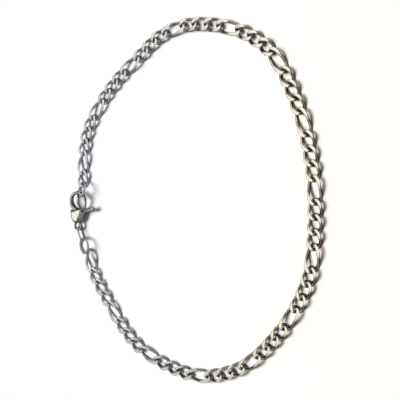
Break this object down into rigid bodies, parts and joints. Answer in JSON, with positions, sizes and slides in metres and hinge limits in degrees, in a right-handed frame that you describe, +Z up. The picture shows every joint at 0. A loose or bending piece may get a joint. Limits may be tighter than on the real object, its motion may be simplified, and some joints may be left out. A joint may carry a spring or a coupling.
{
  "type": "figaro chain necklace",
  "caption": "Figaro chain necklace laid flat in a closed loop, with groups of small curb links between long ones and a lobster clasp.",
  "frame": {"origin": "middle of the outline's box, on the surface that the chain lies on", "axes": "+Z up from that surface, +Y along the loop's long way, the clasp on the -X side with its hook towards +Y"},
  "size_m": [0.1288, 0.1626, 0.0055],
  "materials": {
    "links": "polished stainless steel, rolled flat",
    "rings": "bright drawn wire",
    "clasp": "cast and tumble polished",
    "lever": "polished"
  },
  "bodies": {
    "necklace": {"short_links": "links", "long_links": "links", "end_ring": "rings", "tail_ring": "rings", "tail_link": "rings", "clasp_body": "clasp", "lever_pin": "clasp"},
    "lever": {"clasp_lever": "lever"}
  },
  "joints": [
    {"name": "lever_pivot", "type": "hinge", "parent": "necklace", "child": "lever", "pos_m": [-0.0572, -0.00534, 0.00234], "axis": [-0.0001, -0.0785, 0.9969], "range_deg": [0, 22], "stiffness_Nm_per_rad": 0.005, "springref_deg": -20.05}
  ]
}
